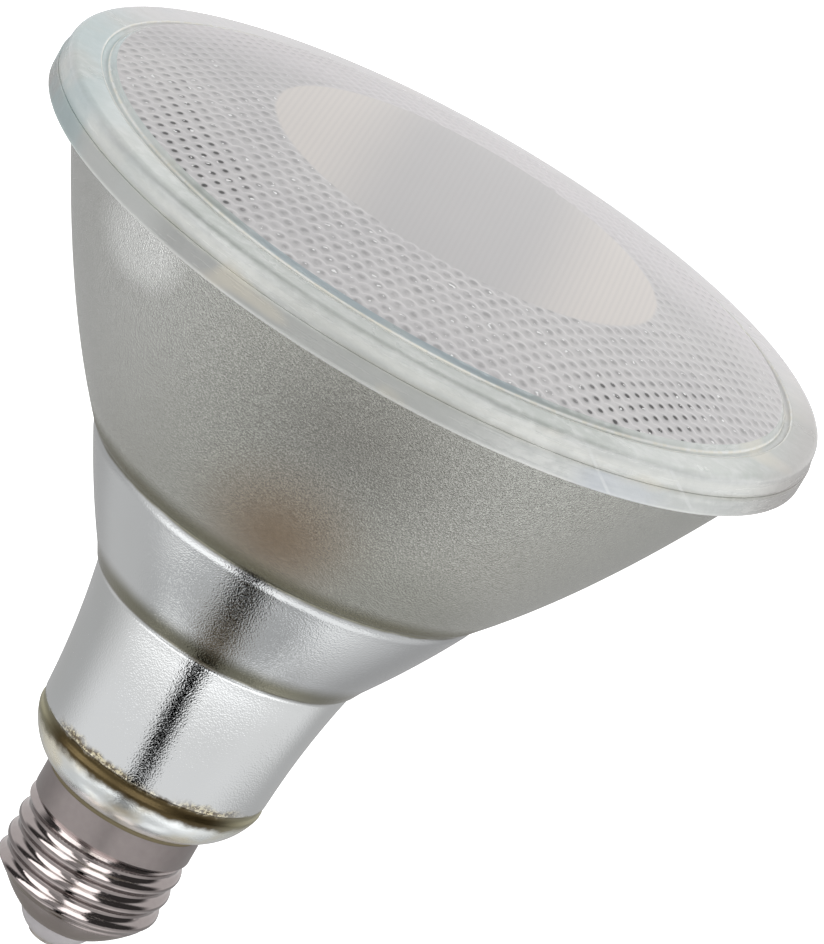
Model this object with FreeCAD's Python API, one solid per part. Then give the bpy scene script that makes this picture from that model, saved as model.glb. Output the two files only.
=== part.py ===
"""Mains LED reflector lamp with a pressed glass bowl, a glass front lens and a rolled screw cap.

The lamp stands on its centre contact: the origin is the middle of the contact's flat land, and +Z runs
along the lamp's axis from the cap to the lens. Sizes are in millimetres.
"""
import FreeCAD, Part
import math
import os

V = FreeCAD.Vector
AXIS = V(0, 0, 1)
ORIGIN = V(0, 0, 0)

# Screw cap: a standard 27 mm rolled thread with seven turns to the inch
thread_pitch = 25.4 / 7
crest_diameter = 26.2
thread_depth = 1.0
thread_run_out_turns = 0.9
thread_root_gap = 0.04
shell_sheet = 0.3
skirt_diameter = 25.9
skirt_length = 4.6
skirt_neck_length = 1.0
shell_end_height = 4.4
shell_cone_height = 5.1
shell_cone_bulge = 0.3
shell_end_diameter = 13.8
shell_lip = 0.6
cap_length = 26.7

# Insulator and centre contact
insulator_end_diameter = 7.0
insulator_end_height = 1.0
insulator_bulge = 0.5
insulator_flange_height = 1.6
contact_edge_inset = 0.4
contact_land_inset = 1.2
contact_edge_height = 0.6
contact_bulge = 0.1
contact_stem_diameter = 2.0
contact_stem_length = 6.0
hole_clearance = 0.1

# Glass bowl, from its stem in the cap up to its flange
stem_gap = 0.65
stem_wall = 2.4
stem_length = 5.0
glass_wall = 2.6
cap_joint_gap = 0.5
neck_end_inset = 0.05
neck_end_rise = 7.1
neck_end_bulge = 1.0
neck_inner_bulge = 0.6
neck_bottom_diameter = 37.2
neck_flare = 2.7
neck_hollow = 0.45
neck_height = 24.2
groove_width = 1.6
groove_depth = 0.35
step_width = 0.8
step_height = 1.5
band_flare = 10.0
band_height = 17.7
band_bulge = 0.25
bowl_flare = 24.6
bowl_height = 41.2
bowl_foot_wall = 3.4
bowl_mouth_wall = 2.9
flange_width = 4.0
flange_thickness = 3.3
flange_edge_radius = 0.6

# Front lens and its adhesive
seal_thickness = 0.3
seal_inset = 1.0
seal_width = 5.4
lens_flange_thickness = 3.0
lens_flange_draft = 0.6
lens_shoulder_radius = 1.2
lens_foot_chamfer = 0.4
lens_bead_inset = 5.9
lens_bead_radius = 0.45
lens_field_margin = 1.4
lens_dome_rise = 6.3
lens_edge_rise = 0.75
lens_thickness = 3.4
lens_centre_diameter = 62.4
lens_field_recess = 0.35
lens_seat_inset = 0.9
lens_lip_height = 0.7

# Heat spreader, light source board and packages
spreader_lift = 13.8
spreader_sheet = 1.6
spreader_skirt_wall = 1.2
spreader_skirt_height = 9.0
seat_clearance = 0.2
led_board_margin = 3.7
led_board_thickness = 1.2
led_length = 3.5
led_width = 2.8
led_height = 0.7
led_edge_gap = 1.5
led_pad_width = 4.1
inner_ring_count = 6
outer_ring_count = 14
screw_count = 3
screw_diameter = 2.9
screw_hole_diameter = 3.0
screw_head_diameter = 5.4
screw_head_height = 1.8
screw_tip_inset = 0.2

# Insulating sleeve and the upright driver board
sleeve_lift = 1.0
sleeve_wall = 1.0
sleeve_floor = 1.2
guide_depth = 1.6
guide_width = 1.0
board_edge_gap = 0.4
board_head_gap = 3.4
board_thickness = 1.2
board_clearance = 0.1
component_gap = 0.4

# Driver components
core_size = 12.4
core_depth = 6.0
core_leg = 3.4
core_side = 1.9
bobbin_wall = 0.6
bobbin_head_gap = 3.0
winding_inset = 0.4
winding_corner_radius = 1.0
bulk_diameter = 8.0
bulk_length = 9.0
output_diameter = 6.3
output_length = 5.4
can_groove_depth = 0.35
film_width = 9.0
film_depth = 5.0
film_length = 8.5
film_edge_radius = 0.6
choke_diameter = 6.4
choke_length = 5.2
choke_core_diameter = 3.4
choke_flange = 1.0
bridge_width = 3.9
bridge_length = 4.8
bridge_thickness = 2.4
chip_width = 3.9
chip_length = 4.9
chip_thickness = 1.5
leg_width = 0.4
leg_reach = 1.0
leg_height = 0.5
resistor_diameter = 3.2
resistor_waist_depth = 0.22
resistor_end_length = 1.8
resistor_length = 9.0
varistor_diameter = 7.4
varistor_thickness = 3.4
varistor_edge_radius = 1.1

# Wires
wire_diameter = 1.2
led_wire_diameter = 1.0
wire_bend_radius = 1.6
led_wire_bend_radius = 0.8
wire_hole_clearance = 0.35
led_wire_spacing = 3.2
led_wire_reach = 4.2
led_wire_rise = 1.9
led_wire_start_depth = 3.5
neutral_drop = 2.4

# Heights worked out from the sizes above
shell_skirt_bottom = cap_length - skirt_length
thread_top = shell_skirt_bottom - skirt_neck_length
thread_bottom = shell_end_height + shell_cone_height
neck_end_height = cap_length + cap_joint_gap
stem_bottom = cap_length - stem_length
neck_bottom_height = neck_end_height + neck_end_rise
neck_top = neck_bottom_height + neck_height
band_bottom = neck_top + step_height
band_top = band_bottom + band_height
bowl_bottom = band_top + step_height
bowl_top = bowl_bottom + bowl_height
flange_top = bowl_top + flange_thickness
lens_bottom = flange_top + seal_thickness
lens_shoulder = lens_bottom + lens_flange_thickness
lens_apex = lens_shoulder + lens_edge_rise + lens_dome_rise
spreader_top = band_bottom + spreader_lift
spreader_height = spreader_top - spreader_sheet
led_board_top = spreader_top + led_board_thickness
sleeve_bottom = neck_bottom_height + sleeve_lift
sleeve_top = spreader_height - seat_clearance
board_bottom = sleeve_bottom + sleeve_floor + board_clearance
board_top = sleeve_top - board_head_gap
mains_row = board_bottom + 2 * wire_diameter
transformer_height = mains_row + max(bulk_length, film_length) + component_gap + core_size / 2
output_row = transformer_height + core_size / 2 + component_gap
bridge_height = mains_row + max(varistor_diameter, resistor_length) + component_gap + bridge_length / 2
chip_height = bridge_height + bridge_length / 2 + component_gap + chip_length / 2

# Radii worked out from the sizes above
crest_radius = crest_diameter / 2
root_radius = crest_radius - thread_depth
shell_hole_radius = shell_end_diameter / 2 - shell_lip
contact_radius = insulator_end_diameter / 2 - contact_edge_inset
insulator_bore = contact_stem_diameter / 2 + hole_clearance
stem_radius = skirt_diameter / 2 - shell_sheet - stem_gap
stem_bore = stem_radius - stem_wall
neck_end_radius = skirt_diameter / 2 - neck_end_inset
neck_bottom_radius = neck_bottom_diameter / 2
neck_top_radius = neck_bottom_radius + neck_flare
band_bottom_radius = neck_top_radius + step_width
band_top_radius = band_bottom_radius + band_flare
bowl_bottom_radius = band_top_radius + step_width
bowl_top_radius = bowl_bottom_radius + bowl_flare
mouth_radius = bowl_top_radius - bowl_mouth_wall
flange_radius = bowl_top_radius + flange_width
lens_bead = flange_radius - lens_bead_inset
lens_field = lens_bead - lens_field_margin
sleeve_radius = neck_bottom_radius - glass_wall - seat_clearance
sleeve_bore = sleeve_radius - sleeve_wall
board_width = 2 * (sleeve_bore - board_edge_gap)
bobbin_depth = sleeve_bore - board_thickness / 2 - bobbin_head_gap
wire_hole_radius = wire_hole_clearance + math.hypot((led_wire_spacing + led_wire_diameter) / 2,
                                                    board_thickness / 2 + led_wire_diameter)


def at(radius, height):
    """A point of the lamp's half section."""
    return V(radius, 0, height)


def line(start, end):
    return Part.makeLine(start, end)


def arc(start, middle, end):
    return Part.Arc(start, middle, end).toShape()


def bulged(start, end, bulge):
    """An arc from start to end that stands out from the straight line, to the right of its run."""
    run = end - start
    side = V(run.z, 0, -run.x)
    side.normalize()
    return arc(start, (start + end) * 0.5 + side * bulge, end)


def parabola(low, high):
    """The stretch of a parabola about the lamp's axis that passes through two points."""
    rate = (high.z - low.z) / (high.x ** 2 - low.x ** 2)
    vertex = low.z - rate * low.x ** 2
    control = at((low.x + high.x) / 2, vertex + rate * low.x * high.x)
    curve = Part.BezierCurve()
    curve.setPoles([low, control, high])
    return curve.toShape()


def eased(low, high):
    """A soft step from one wall to a wider one, upright at both ends."""
    middle = (low.z + high.z) / 2
    curve = Part.BezierCurve()
    curve.setPoles([low, at(low.x, middle), at(high.x, middle), high])
    return curve.toShape()


def polyline(*points):
    return [line(a, b) for a, b in zip(points, points[1:])]


def turned(edges):
    """The solid that a closed half section sweeps round the lamp's axis."""
    face = Part.Face(Part.Wire(edges))
    return face.revolve(ORIGIN, AXIS, 360)


def turned_outline(*points):
    return turned(polyline(*points, points[0]))


def rod(radius, height, foot, direction=AXIS):
    return Part.makeCylinder(radius, height, foot, direction)


def block(width, depth, height, centre):
    """A box about its centre."""
    corner = centre - V(width / 2, depth / 2, height / 2)
    return Part.makeBox(width, depth, height, corner)


def save(name, shape):
    shape.exportStep("parts/" + name + ".step")
    print(name, len(shape.Solids), "solids", round(shape.Volume, 1), "mm3", shape.isValid())


def wave_section(crest, root):
    """One rounded thread ridge in section: three equal arcs on a short foot inside the root."""
    half = (thread_pitch - thread_root_gap) / 2
    depth = crest - root
    bend = (half ** 2 + depth ** 2) / (4 * depth)
    turn = math.asin(half / 2 / bend)
    rise = bend - bend * math.cos(turn / 2)
    run = bend * math.sin(turn / 2)
    middle = root + depth / 2
    foot = root - shell_sheet
    return Part.Wire([
        arc(at(root, -half), at(root + rise, -half + run), at(middle, -half / 2)),
        arc(at(middle, -half / 2), at(crest, 0), at(middle, half / 2)),
        arc(at(middle, half / 2), at(root + rise, half - run), at(root, half)),
        line(at(root, half), at(foot, half)),
        line(at(foot, half), at(foot, -half)),
        line(at(foot, -half), at(root, -half)),
    ])


def thread_ridge(crest, root):
    """The helical ridge, faded well into the root at both ends."""
    length = thread_top - thread_bottom + thread_run_out_turns * thread_pitch
    start = (thread_top + thread_bottom - length) / 2
    section = wave_section(crest, root)
    section.translate(V(0, 0, start))
    helix = Part.makeHelix(thread_pitch, length, crest)
    helix.translate(V(0, 0, start))
    ridge = Part.Wire(helix.Edges).makePipeShell([section], True, True)
    low = thread_bottom - thread_pitch / 4
    high = thread_top + thread_pitch / 4
    inner = root - (crest - root) / 2
    outer = crest + shell_sheet
    fade = turned_outline(at(0, low), at(inner, low), at(outer, low + thread_pitch / 2),
                          at(outer, high - thread_pitch / 2), at(inner, high), at(0, high))
    return ridge.common(fade)


def shell_form(inset):
    """The cap's outer form, or its inner one for an inset of one sheet."""
    skirt = skirt_diameter / 2 - inset
    root = root_radius - inset
    core = root + thread_root_gap / 2
    top = cap_length + inset
    end = shell_end_height + inset
    cone_end = shell_end_diameter / 2 - inset / 2
    cone = bulged(at(cone_end, end), at(core, thread_bottom), shell_cone_bulge)
    body = turned([
        line(at(0, end), at(cone_end, end)),
        cone,
        line(at(core, thread_bottom), at(core, thread_top)),
        line(at(core, thread_top), at(skirt, shell_skirt_bottom)),
        line(at(skirt, shell_skirt_bottom), at(skirt, top)),
        line(at(skirt, top), at(0, top)),
        line(at(0, top), at(0, end)),
    ])
    return body.fuse(thread_ridge(crest_radius - inset, root))


def screw_shell():
    hole = rod(shell_hole_radius, shell_cone_height, at(0, shell_end_height - shell_sheet))
    return shell_form(0).cut(shell_form(shell_sheet)).cut(hole)


def cap_insulator():
    """A dome outside the shell's end, a waist through its hole and a flange inside it."""
    waist = shell_hole_radius - hole_clearance
    flange = shell_end_diameter / 2 - shell_sheet
    seat = shell_end_height + shell_sheet
    tip = insulator_end_diameter / 2
    back = seat + insulator_flange_height
    return turned([
        line(at(insulator_bore, insulator_end_height), at(tip, insulator_end_height)),
        bulged(at(tip, insulator_end_height), at(waist, shell_end_height), insulator_bulge),
        line(at(waist, shell_end_height), at(waist, seat)),
        line(at(waist, seat), at(flange, seat)),
        line(at(flange, seat), at(flange, back)),
        line(at(flange, back), at(insulator_bore, back)),
        line(at(insulator_bore, back), at(insulator_bore, insulator_end_height)),
    ])


def centre_contact():
    """A pressed cap with a flat land, on a rivet stem in the insulator's hole."""
    edge = contact_radius
    land = edge - contact_land_inset
    stem = contact_stem_diameter / 2
    top = insulator_end_height
    tip = top + contact_stem_length
    return turned([
        line(at(0, 0), at(land, 0)),
        bulged(at(land, 0), at(edge, top - contact_edge_height), contact_bulge),
        line(at(edge, top - contact_edge_height), at(edge, top)),
        line(at(edge, top), at(stem, top)),
        line(at(stem, top), at(stem, tip)),
        line(at(stem, tip), at(0, tip)),
        line(at(0, tip), at(0, 0)),
    ])


def band_inside():
    """The ends of the glass band's inner wall: its foot, and the throat where the bowl begins."""
    foot = at(band_bottom_radius - glass_wall, band_bottom + step_width)
    return foot, at(bowl_bottom_radius - bowl_foot_wall, bowl_bottom)


def reflector_bowl():
    """The pressed glass: flange, paraboloid, band, neck, rounded end and stem, all of one wall."""
    neck_end = at(neck_end_radius, neck_end_height)
    neck_low = at(neck_bottom_radius, neck_bottom_height)
    groove_low = neck_low + V(0, 0, groove_width / 4)
    groove_high = groove_low + V(0, 0, groove_width)
    neck_high = at(neck_top_radius, neck_top)
    band_low = at(band_bottom_radius, band_bottom)
    band_high = at(band_top_radius, band_top)
    bowl_low = at(bowl_bottom_radius, bowl_bottom)
    bowl_high = at(bowl_top_radius, bowl_top)
    edge = flange_edge_radius
    corner = edge * (1 - math.sqrt(0.5))
    outside = [
        line(at(stem_bore, stem_bottom), at(stem_radius, stem_bottom)),
        line(at(stem_radius, stem_bottom), at(stem_radius, neck_end_height)),
        line(at(stem_radius, neck_end_height), neck_end),
        bulged(neck_end, neck_low, neck_end_bulge),
        line(neck_low, groove_low),
        bulged(groove_low, groove_high, -groove_depth),
        bulged(groove_high, neck_high, -neck_hollow),
        eased(neck_high, band_low),
        bulged(band_low, band_high, band_bulge),
        eased(band_high, bowl_low),
        parabola(bowl_low, bowl_high),
        line(bowl_high, at(flange_radius - edge, bowl_top)),
        arc(at(flange_radius - edge, bowl_top), at(flange_radius - corner, bowl_top + corner),
            at(flange_radius, bowl_top + edge)),
        line(at(flange_radius, bowl_top + edge), at(flange_radius, flange_top)),
    ]
    mouth = at(mouth_radius, flange_top)
    band_foot, throat = band_inside()
    neck_head = at(neck_top_radius - glass_wall, neck_top)
    neck_foot = at(neck_bottom_radius - glass_wall, sleeve_bottom)
    shoulder = at(stem_bore, neck_end_height + glass_wall)
    inside = [
        line(at(flange_radius, flange_top), mouth),
        parabola(throat, mouth),
        line(throat, band_foot),
        line(band_foot, neck_head),
        line(neck_head, neck_foot),
        bulged(shoulder, neck_foot, neck_inner_bulge),
        line(shoulder, at(stem_bore, stem_bottom)),
    ]
    return turned(outside + inside)


def cap_of_sphere(rim, rise):
    """The radius of a spherical cap from its rim radius and rise."""
    return (rim ** 2 + rise ** 2) / (2 * rise)


def front_lens():
    """The pressed lens: drafted flange, bead, spherical front and two optic zones inside."""
    field = lens_field
    bead = lens_bead
    centre = lens_centre_diameter / 2
    seat = mouth_radius - lens_seat_inset
    shoulder = flange_radius - lens_flange_draft
    rounding = lens_shoulder_radius
    corner = rounding * (1 - math.sqrt(0.5))
    foot = flange_radius - lens_foot_chamfer
    dome = cap_of_sphere(field, lens_dome_rise)
    lip = lens_bottom + lens_lip_height
    back = lens_apex - lens_thickness
    back_dome = cap_of_sphere(seat, back + lens_field_recess - lip)

    def front_at(radius):
        return at(radius, lens_apex - dome + math.sqrt(dome ** 2 - radius ** 2))

    def back_at(radius, recess):
        return at(radius, back + recess - back_dome + math.sqrt(back_dome ** 2 - radius ** 2))

    def back_arc(start, end, recess):
        return arc(back_at(start, recess), back_at((start + end) / 2, recess), back_at(end, recess))

    recess = lens_field_recess
    bead_in = at(bead - lens_bead_radius, lens_shoulder)
    bead_out = at(bead + lens_bead_radius, lens_shoulder)
    shoulder_in = at(shoulder - rounding, lens_shoulder)
    shoulder_out = at(shoulder, lens_shoulder - rounding)
    return turned([
        arc(front_at(0), front_at(field / 2), front_at(field)),
        line(front_at(field), bead_in),
        arc(bead_in, at(bead, lens_shoulder + lens_bead_radius), bead_out),
        line(bead_out, shoulder_in),
        arc(shoulder_in, at(shoulder - corner, lens_shoulder - corner), shoulder_out),
        line(shoulder_out, at(foot, lens_bottom + lens_foot_chamfer)),
        line(at(foot, lens_bottom + lens_foot_chamfer), at(foot - lens_foot_chamfer, lens_bottom)),
        line(at(foot - lens_foot_chamfer, lens_bottom), at(seat, lens_bottom)),
        line(at(seat, lens_bottom), back_at(seat, recess)),
        back_arc(seat, centre, recess),
        line(back_at(centre, recess), back_at(centre, 0)),
        back_arc(centre, 0, 0),
        line(back_at(0, 0), front_at(0)),
    ])


def lens_seal():
    outer = flange_radius - seal_inset
    inner = outer - seal_width
    return turned_outline(at(inner, flange_top), at(outer, flange_top), at(outer, lens_bottom),
                          at(inner, lens_bottom))


def cap_cement():
    """The ring between the stem and the skirt, up to the glass end."""
    outer = skirt_diameter / 2 - shell_sheet
    bottom = shell_skirt_bottom + cap_joint_gap
    return turned_outline(at(stem_radius, bottom), at(outer, bottom), at(outer, cap_length),
                          at(neck_end_radius, cap_length), at(neck_end_radius, neck_end_height),
                          at(stem_radius, neck_end_height))


def spreader_radius(height):
    """The spreader's outside follows the glass band's inner wall."""
    foot, throat = band_inside()
    share = (height - foot.z) / (throat.z - foot.z)
    return foot.x + (throat.x - foot.x) * share - seat_clearance


def led_board_radius():
    return spreader_radius(spreader_top) - led_board_margin


def ring_radii():
    """The inner ring clears the wires' pads, and the outer one the board's edge."""
    inner = wire_hole_radius + led_pad_width + led_width / 2
    outer = led_board_radius() - led_edge_gap - led_width / 2
    return inner, outer


def screw_places():
    """Screws stand midway between the two rings."""
    reach = V(sum(ring_radii()) / 2, 0, 0)
    turn = FreeCAD.Rotation(AXIS, 360 / screw_count)
    places = [FreeCAD.Rotation(AXIS, 180 / screw_count).multVec(reach)]
    while len(places) < screw_count:
        places.append(turn.multVec(places[-1]))
    return places


def pierced(plate, hole_diameter):
    """A plate with the screws' holes and the wires' hole through it."""
    low = plate.BoundBox.ZMin - 1
    depth = plate.BoundBox.ZLength + 2
    for place in screw_places():
        plate = plate.cut(rod(hole_diameter / 2, depth, place + V(0, 0, low)))
    return plate.cut(rod(wire_hole_radius, depth, V(0, 0, low)))


def heat_spreader():
    """A pressed cup: a flat plate whose skirt lies against the glass band."""
    bottom = spreader_top - spreader_skirt_height
    low = spreader_radius(bottom)
    high = spreader_radius(spreader_top)
    wall = spreader_skirt_wall
    under = high - (high - low) * spreader_sheet / spreader_skirt_height
    cup = turned_outline(at(0, spreader_height), at(under - wall, spreader_height), at(low - wall, bottom),
                         at(low, bottom), at(high, spreader_top), at(0, spreader_top))
    return pierced(cup, screw_hole_diameter)


def led_board():
    disc = rod(led_board_radius(), led_board_thickness, V(0, 0, spreader_top))
    return pierced(disc, screw_hole_diameter)


def leds():
    """Packages in rings, each a chamfered body with its long side round the ring."""
    packages = []
    for radius, count in zip(ring_radii(), (inner_ring_count, outer_ring_count)):
        body = block(led_width, led_length, led_height, V(radius, 0, led_board_top + led_height / 2))
        top_edges = [e for e in body.Edges if e.BoundBox.ZMin > led_board_top + led_height / 2]
        body = body.makeChamfer(led_height / 3, top_edges)
        for index in range(count):
            package = body.copy()
            package.rotate(ORIGIN, AXIS, 360 * index / count)
            packages.append(package)
    return Part.makeCompound(packages)


def board_screws():
    """Pan head screws in the board, short of the plate's underside."""
    tip = spreader_height + screw_tip_inset
    head_top = led_board_top + screw_head_height
    shank = screw_diameter / 2
    head = screw_head_diameter / 2
    screw = turned([
        line(at(0, tip), at(shank, tip)),
        line(at(shank, tip), at(shank, led_board_top)),
        line(at(shank, led_board_top), at(head, led_board_top)),
        arc(at(head, led_board_top), at(head * 0.8, head_top - screw_head_height * 0.25), at(0, head_top)),
        line(at(0, head_top), at(0, tip)),
    ])
    slot = screw_head_diameter / 2
    for width, depth in ((slot, slot / 5), (slot / 5, slot)):
        screw = screw.cut(block(width, depth, screw_head_height, V(0, 0, head_top)))
    return Part.makeCompound([screw.translated(place) for place in screw_places()])


def driver_sleeve():
    """A straight sleeve with a holed floor and two pairs of guides for the board."""
    floor = sleeve_bottom + sleeve_floor
    hole = board_width / 4 + wire_diameter
    sleeve = turned_outline(at(hole, sleeve_bottom), at(sleeve_radius, sleeve_bottom),
                            at(sleeve_radius, sleeve_top), at(sleeve_bore, sleeve_top),
                            at(sleeve_bore, floor), at(hole, floor))
    gap = board_thickness / 2 + board_clearance
    height = board_top - floor
    for side in (-1, 1):
        for face in (-1, 1):
            centre = V(side * (sleeve_bore - guide_depth / 2), face * (gap + guide_width / 2),
                       floor + height / 2)
            rib = block(guide_depth + sleeve_wall / 2, guide_width, height, centre)
            sleeve = sleeve.fuse(rib)
    return sleeve.removeSplitter()


def driver_board():
    """The upright board, notched at its foot for the mains wires."""
    centre = V(0, 0, (board_bottom + board_top) / 2)
    board = block(board_width, board_thickness, board_top - board_bottom, centre)
    for side in (-1, 1):
        notch = block(2 * wire_diameter, 2 * board_thickness, 2 * wire_diameter,
                      V(side * board_width / 4, 0, board_bottom))
        board = board.cut(notch)
    return board


def front_face(depth, x, z):
    """The centre of a component of a given depth on the board's +Y face."""
    return V(x, board_thickness / 2 + depth / 2, z)


def back_face(depth, x, z):
    return V(x, -board_thickness / 2 - depth / 2, z)


def transformer_centre():
    return front_face(bobbin_depth, 0, transformer_height)


def transformer_core():
    """A closed pair of E cores: a frame with a middle leg."""
    centre = transformer_centre()
    core = block(core_size, core_depth, core_size, centre)
    window = (core_size - 2 * core_side - core_leg) / 2
    for side in (-1, 1):
        offset = V(side * (core_leg + window) / 2, 0, 0)
        core = core.cut(block(window, core_depth + 1, core_size - 2 * core_side, centre + offset))
    return core


def bobbin_tube():
    """Outer width and depth of the tube round the middle leg."""
    return core_leg + 2 * (board_clearance + bobbin_wall), core_depth + 2 * (board_clearance + bobbin_wall)


def transformer_bobbin():
    centre = transformer_centre()
    tube_width, tube_depth = bobbin_tube()
    length = core_size - 2 * core_side - 2 * board_clearance
    flange_width = core_size - 2 * core_side - 2 * board_clearance
    bobbin = block(tube_width, tube_depth, length, centre)
    for end in (-1, 1):
        height = centre.z + end * (length - bobbin_wall) / 2
        bobbin = bobbin.fuse(block(flange_width, bobbin_depth, bobbin_wall, V(centre.x, centre.y, height)))
    hole = block(core_leg + 2 * board_clearance, core_depth + 2 * board_clearance, core_size, centre)
    return bobbin.cut(hole).removeSplitter()


def transformer_winding():
    """The wound copper with its tape, between the bobbin's flanges."""
    centre = transformer_centre()
    tube_width, tube_depth = bobbin_tube()
    width = core_size - 2 * core_side - 2 * winding_inset
    depth = bobbin_depth - 2 * winding_inset
    height = core_size - 2 * core_side - 2 * board_clearance - 2 * bobbin_wall
    winding = block(width, depth, height, centre)
    upright = [e for e in winding.Edges if e.BoundBox.ZLength > height / 2]
    winding = winding.makeFillet(winding_corner_radius, upright)
    return winding.cut(block(tube_width, tube_depth, height + 1, centre))


def capacitor_can(diameter, length, foot):
    """An electrolytic can with a rolled groove near its seal end."""
    radius = diameter / 2
    groove = length / 6
    waist = radius - can_groove_depth
    can = turned([
        line(at(0, 0), at(radius, 0)),
        line(at(radius, 0), at(radius, groove)),
        arc(at(radius, groove), at(waist, groove * 1.5), at(radius, groove * 2)),
        line(at(radius, groove * 2), at(radius, length)),
        line(at(radius, length), at(0, length)),
        line(at(0, length), at(0, 0)),
    ])
    return can.translated(foot)


def bulk_capacitor():
    foot = front_face(bulk_diameter, -board_width / 4, mains_row)
    return capacitor_can(bulk_diameter, bulk_length, foot)


def output_capacitor():
    foot = front_face(output_diameter, board_width / 4, output_row)
    return capacitor_can(output_diameter, output_length, foot)


def film_capacitor():
    centre = front_face(film_depth, board_width / 5, mains_row + film_length / 2)
    body = block(film_width, film_depth, film_length, centre)
    return body.makeFillet(film_edge_radius, body.Edges)


def input_choke():
    """A drum core wound between two flanges, standing on the board."""
    centre = front_face(choke_diameter, -board_width / 4, output_row)
    radius = choke_diameter / 2
    waist = choke_core_diameter / 2
    top = choke_length
    flange = choke_flange
    drum = turned_outline(at(0, 0), at(radius, 0), at(radius, flange), at(waist, flange),
                          at(waist, top - flange), at(radius, top - flange), at(radius, top), at(0, top))
    return drum.translated(centre)


def packaged_chip(width, length, thickness, pairs, x, z):
    """A moulded package on the back of the board with legs down both long sides."""
    centre = back_face(thickness, x, z)
    body = block(width, thickness, length, centre)
    outer = [e for e in body.Edges if e.BoundBox.YMax < centre.y]
    chip = body.makeChamfer(thickness / 5, outer)
    face = -board_thickness / 2
    for side in (-1, 1):
        for index in range(pairs):
            height = centre.z + (index - (pairs - 1) / 2) * length / pairs
            leg = block(leg_reach, leg_height, leg_width,
                        V(centre.x + side * (width + leg_reach) / 2, face - leg_height / 2, height))
            chip = chip.fuse(leg)
    return chip.removeSplitter()


def rectifier_bridge():
    return packaged_chip(bridge_width, bridge_length, bridge_thickness, 2, 0, bridge_height)


def driver_chip():
    return packaged_chip(chip_width, chip_length, chip_thickness, 4, -board_width / 8, chip_height)


def fusible_resistor():
    """A round body with swollen ends, upright on the back of the board."""
    radius = resistor_diameter / 2
    waist = radius - resistor_waist_depth
    end = resistor_end_length
    top = resistor_length
    foot = back_face(resistor_diameter, board_width / 4, mains_row)
    body = turned([
        line(at(0, 0), at(waist, 0)),
        arc(at(waist, 0), at(radius, end / 2), at(waist, end)),
        line(at(waist, end), at(waist, top - end)),
        arc(at(waist, top - end), at(radius, top - end / 2), at(waist, top)),
        line(at(waist, top), at(0, top)),
        line(at(0, top), at(0, 0)),
    ])
    return body.translated(foot)


def varistor():
    radius = varistor_diameter / 2
    centre = back_face(varistor_thickness, -board_width / 4, mains_row + radius)
    disc = rod(radius, varistor_thickness, centre + V(0, -varistor_thickness / 2, 0), V(0, 1, 0))
    return disc.makeFillet(varistor_edge_radius, disc.Edges[:1] + disc.Edges[2:])


def wire_along(points, diameter, bend):
    """A round wire along straight runs joined by tangent arcs."""
    edges = []
    start = points[0]
    for before, corner, after in zip(points, points[1:], points[2:]):
        into = (corner - before).normalize()
        out = (after - corner).normalize()
        half_turn = into.getAngle(out) / 2
        cut = bend * math.tan(half_turn)
        first = corner - into * cut
        last = corner + out * cut
        inward = (out - into).normalize()
        middle = corner + inward * (bend / math.cos(half_turn) - bend)
        edges.append(line(start, first))
        edges.append(arc(first, middle, last))
        start = last
    edges.append(line(start, points[-1]))
    circle = Part.makeCircle(diameter / 2, points[0], points[1] - points[0])
    return Part.Wire(edges).makePipeShell([Part.Wire(circle)], True, False)


def line_wire():
    """From the contact's stem up the middle and into the board's notch."""
    foot = insulator_end_height + contact_stem_length
    side = board_width / 4
    turn = neck_end_height
    end = board_bottom + wire_diameter
    return wire_along([V(0, 0, foot), V(0, 0, turn), V(side, 0, turn + side / 2), V(side, 0, end)],
                      wire_diameter, wire_bend_radius)


def neutral_wire():
    """From the shell's inner wall up through the stem and into the board's other notch."""
    side = -board_width / 4
    wall = root_radius - shell_sheet - hole_clearance
    low = stem_bottom - neutral_drop
    end = board_bottom + wire_diameter
    return wire_along([V(-wall, 0, low), V(side, 0, low), V(side, 0, end)], wire_diameter, wire_bend_radius)


def led_wire(side):
    """From the board's face up through the plates and over to a pad."""
    x = side * led_wire_spacing / 2
    y = board_thickness / 2 + led_wire_diameter / 2
    reach = side * led_wire_reach
    top = led_board_top + led_wire_rise
    return wire_along([V(x, y, board_top - led_wire_start_depth), V(x, y, top), V(reach, y, top),
                       V(reach, y, led_board_top)], led_wire_diameter, led_wire_bend_radius)


PIECES = {
    "reflector_bowl": reflector_bowl,
    "front_lens": front_lens,
    "lens_seal": lens_seal,
    "screw_shell": screw_shell,
    "cap_insulator": cap_insulator,
    "centre_contact": centre_contact,
    "cap_cement": cap_cement,
    "heat_spreader": heat_spreader,
    "led_board": led_board,
    "leds": leds,
    "board_screws": board_screws,
    "driver_sleeve": driver_sleeve,
    "driver_board": driver_board,
    "transformer_core": transformer_core,
    "transformer_bobbin": transformer_bobbin,
    "transformer_winding": transformer_winding,
    "bulk_capacitor": bulk_capacitor,
    "output_capacitor": output_capacitor,
    "film_capacitor": film_capacitor,
    "input_choke": input_choke,
    "rectifier_bridge": rectifier_bridge,
    "driver_chip": driver_chip,
    "fusible_resistor": fusible_resistor,
    "varistor": varistor,
    "line_wire": line_wire,
    "neutral_wire": neutral_wire,
    "led_positive_wire": lambda: led_wire(1),
    "led_negative_wire": lambda: led_wire(-1),
}

os.makedirs("parts", exist_ok=True)
for name, make in PIECES.items():
    save(name, make())
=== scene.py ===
import math

import bpy
from mathutils import Matrix, Vector


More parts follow.
